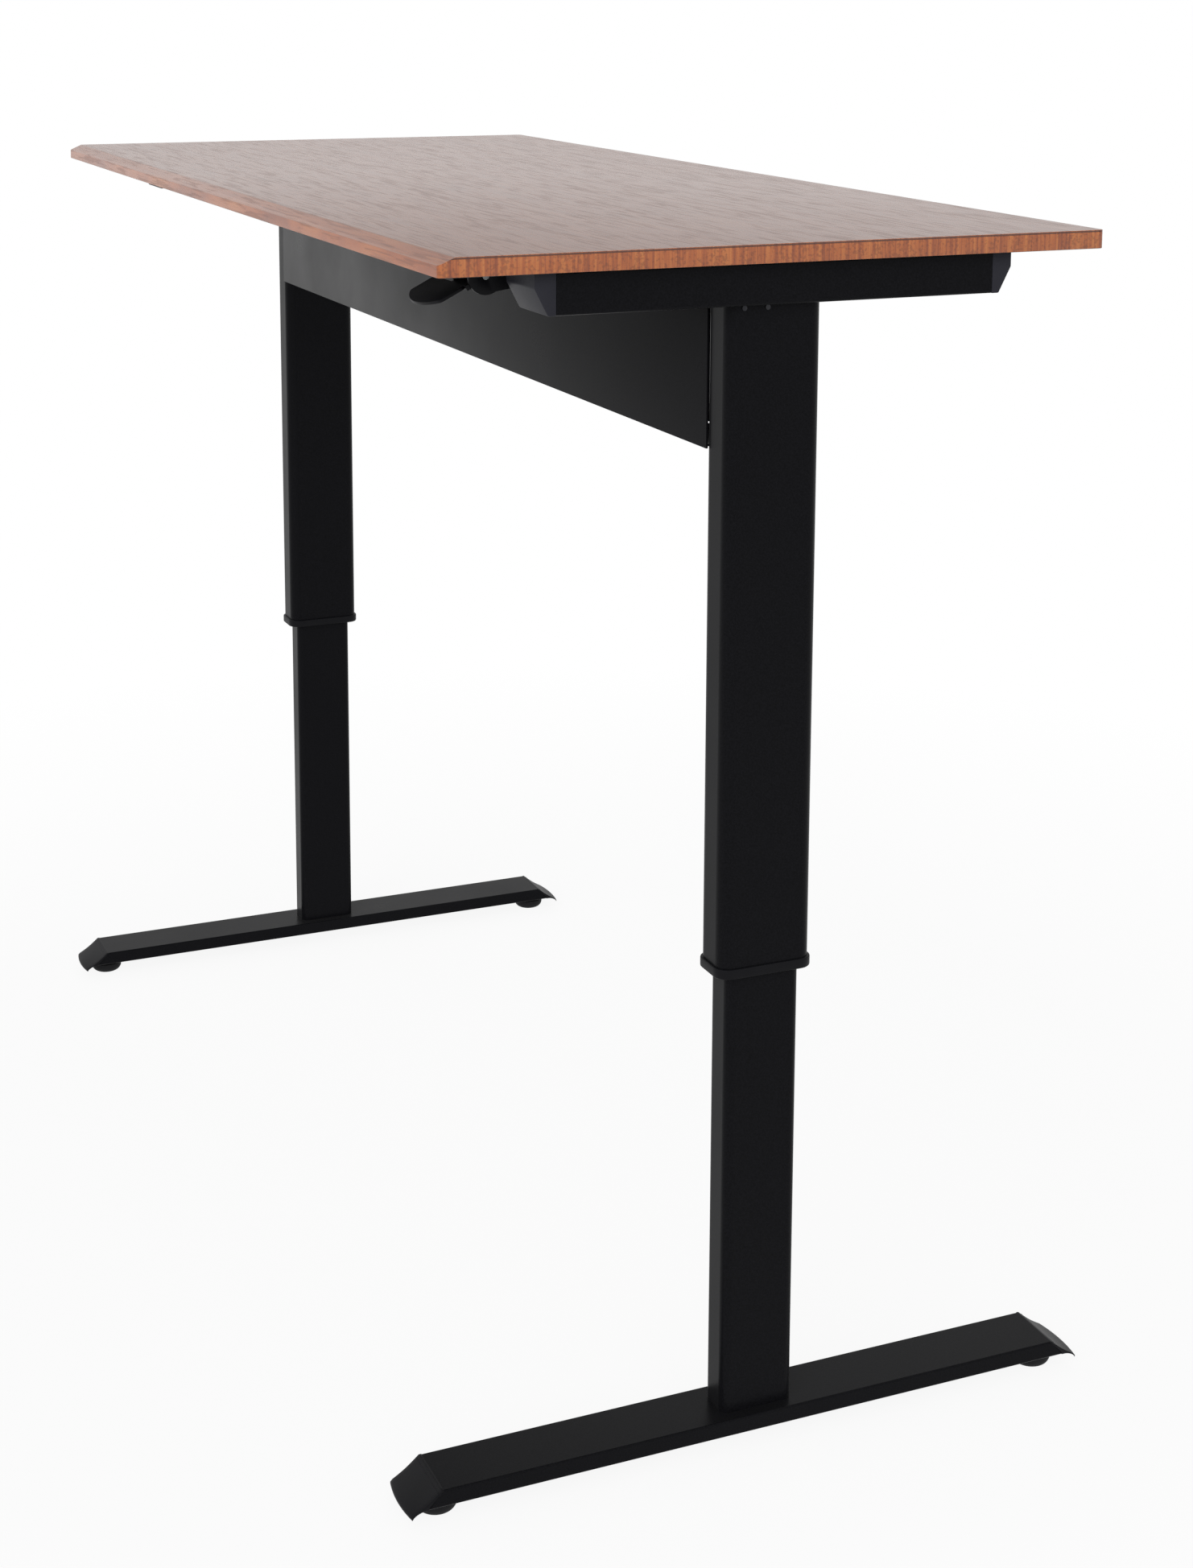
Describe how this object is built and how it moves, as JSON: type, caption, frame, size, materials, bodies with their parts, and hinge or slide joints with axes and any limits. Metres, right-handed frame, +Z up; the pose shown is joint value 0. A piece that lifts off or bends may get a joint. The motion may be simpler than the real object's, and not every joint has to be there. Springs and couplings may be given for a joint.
{
  "type": "height adjustable standing desk",
  "caption": "Standing desk with a bevelled wood-grain top, telescopic columns on flat feet, a folded crossbeam and a release paddle that frees the lift.",
  "frame": {"origin": "on the floor under the middle of the desk, raised", "axes": "+X the user's right, -Y the user's side, +Z up"},
  "size_m": [1.53, 0.742, 1.203],
  "materials": {
    "top_laminate": "satin wood-grain laminate on board, grain along the length",
    "black_steel": "fine-texture black powder coat",
    "black_plastic": "fine moulded grain",
    "zinc_steel": "zinc plated steel, turned",
    "spring_black": "gloss black enamel",
    "glide_rubber": "matt"
  },
  "bodies": {
    "base": {"foot_right": "black_steel", "foot_left": "black_steel", "foot_cap_front_right": "black_plastic", "foot_cap_front_left": "black_plastic", "foot_cap_rear_right": "black_plastic", "foot_cap_rear_left": "black_plastic", "base_plates": "black_steel", "lower_tube_right": "black_steel", "lower_tube_left": "black_steel", "guide_block_right": "black_plastic", "guide_block_left": "black_plastic", "gas_rod_right": "zinc_steel", "gas_rod_left": "zinc_steel", "foot_bolts": "zinc_steel"},
    "lift": {"tabletop": "top_laminate", "bracket_right": "black_steel", "bracket_left": "black_steel", "bracket_cap_front_right": "black_plastic", "bracket_cap_front_left": "black_plastic", "bracket_cap_rear_right": "black_plastic", "bracket_cap_rear_left": "black_plastic", "upper_tube_right": "black_steel", "upper_tube_left": "black_steel", "collar_right": "black_plastic", "collar_left": "black_plastic", "head_plate_right": "black_steel", "head_plate_left": "black_steel", "bearing_plates": "black_steel", "crossbeam": "black_steel", "beam_hanger_right": "black_steel", "beam_hanger_left": "black_steel", "gas_cylinder_right": "spring_black", "gas_cylinder_left": "spring_black", "rocker_pins": "zinc_steel", "shaft_bushes": "black_plastic", "lever_housing": "black_plastic", "paddle_pin": "zinc_steel", "paddle_spring": "zinc_steel", "head_bolts": "zinc_steel", "top_screws": "zinc_steel", "hanger_screws": "zinc_steel", "side_screws": "zinc_steel", "housing_screws": "zinc_steel"},
    "cross_shaft": {"cross_shaft": "zinc_steel", "shaft_gear_right": "zinc_steel", "shaft_gear_left": "zinc_steel"},
    "paddle": {"release_paddle": "black_plastic"},
    "spindle_right": {"spindle_right": "zinc_steel", "spindle_gear_right": "zinc_steel"},
    "rocker_right": {"valve_rocker_right": "zinc_steel"},
    "valve_right": {"valve_pin_right": "zinc_steel"},
    "spindle_left": {"spindle_left": "zinc_steel", "spindle_gear_left": "zinc_steel"},
    "rocker_left": {"valve_rocker_left": "zinc_steel"},
    "valve_left": {"valve_pin_left": "zinc_steel"},
    "glide_front_right": {"glide_front_right": "glide_rubber"},
    "glide_front_left": {"glide_front_left": "glide_rubber"},
    "glide_rear_right": {"glide_rear_right": "glide_rubber"},
    "glide_rear_left": {"glide_rear_left": "glide_rubber"}
  },
  "joints": [
    {"name": "height", "type": "slide", "parent": "base", "child": "lift", "axis": [0, 0, 1], "range_m": [-0.43, 0]},
    {"name": "cross_shaft_turn", "type": "hinge", "parent": "lift", "child": "cross_shaft", "pos_m": [0, -0.02, 1.1153], "axis": [1, 0, 0], "range_deg": [0, 3096]},
    {"name": "paddle_pull", "type": "hinge", "parent": "lift", "child": "paddle", "pos_m": [0.639, -0.257, 1.172], "axis": [-1, 0, 0], "range_deg": [0, 12], "stiffness_Nm_per_rad": 0.6, "springref_deg": -17.19},
    {"name": "spindle_turn_right", "type": "hinge", "parent": "lift", "child": "spindle_right", "pos_m": [0.716, -0.02, 1], "axis": [0, 0, 1], "range_deg": [-3096, 0]},
    {"name": "rocker_tilt_right", "type": "hinge", "parent": "lift", "child": "rocker_right", "pos_m": [0.716, 0.033, 1.13], "axis": [1, 0, 0], "range_deg": [0, 8]},
    {"name": "valve_press_right", "type": "slide", "parent": "lift", "child": "valve_right", "axis": [0, 0, -1], "range_m": [0, 0.0016]},
    {"name": "spindle_turn_left", "type": "hinge", "parent": "lift", "child": "spindle_left", "pos_m": [-0.716, -0.02, 1], "axis": [0, 0, 1], "range_deg": [0, 3096]},
    {"name": "rocker_tilt_left", "type": "hinge", "parent": "lift", "child": "rocker_left", "pos_m": [-0.716, 0.033, 1.13], "axis": [1, 0, 0], "range_deg": [0, 8]},
    {"name": "valve_press_left", "type": "slide", "parent": "lift", "child": "valve_left", "axis": [0, 0, -1], "range_m": [0, 0.0016]},
    {"name": "glide_front_right_screw", "type": "slide", "parent": "base", "child": "glide_front_right", "axis": [0, 0, -1], "range_m": [0, 0.012]},
    {"name": "glide_front_left_screw", "type": "slide", "parent": "base", "child": "glide_front_left", "axis": [0, 0, -1], "range_m": [0, 0.012]},
    {"name": "glide_rear_right_screw", "type": "slide", "parent": "base", "child": "glide_rear_right", "axis": [0, 0, -1], "range_m": [0, 0.012]},
    {"name": "glide_rear_left_screw", "type": "slide", "parent": "base", "child": "glide_rear_left", "axis": [0, 0, -1], "range_m": [0, 0.012]}
  ],
  "couplings": [
    {"joint": "cross_shaft_turn", "follows": "height", "rad_per_m": -125.66},
    {"joint": "spindle_turn_right", "follows": "height", "rad_per_m": 125.66},
    {"joint": "rocker_tilt_right", "follows": "paddle_pull", "ratio": 0.66667},
    {"joint": "valve_press_right", "follows": "paddle_pull", "m_per_rad": 0.0076394},
    {"joint": "spindle_turn_left", "follows": "height", "rad_per_m": -125.66},
    {"joint": "rocker_tilt_left", "follows": "paddle_pull", "ratio": 0.66667},
    {"joint": "valve_press_left", "follows": "paddle_pull", "m_per_rad": 0.0076394}
  ]
}
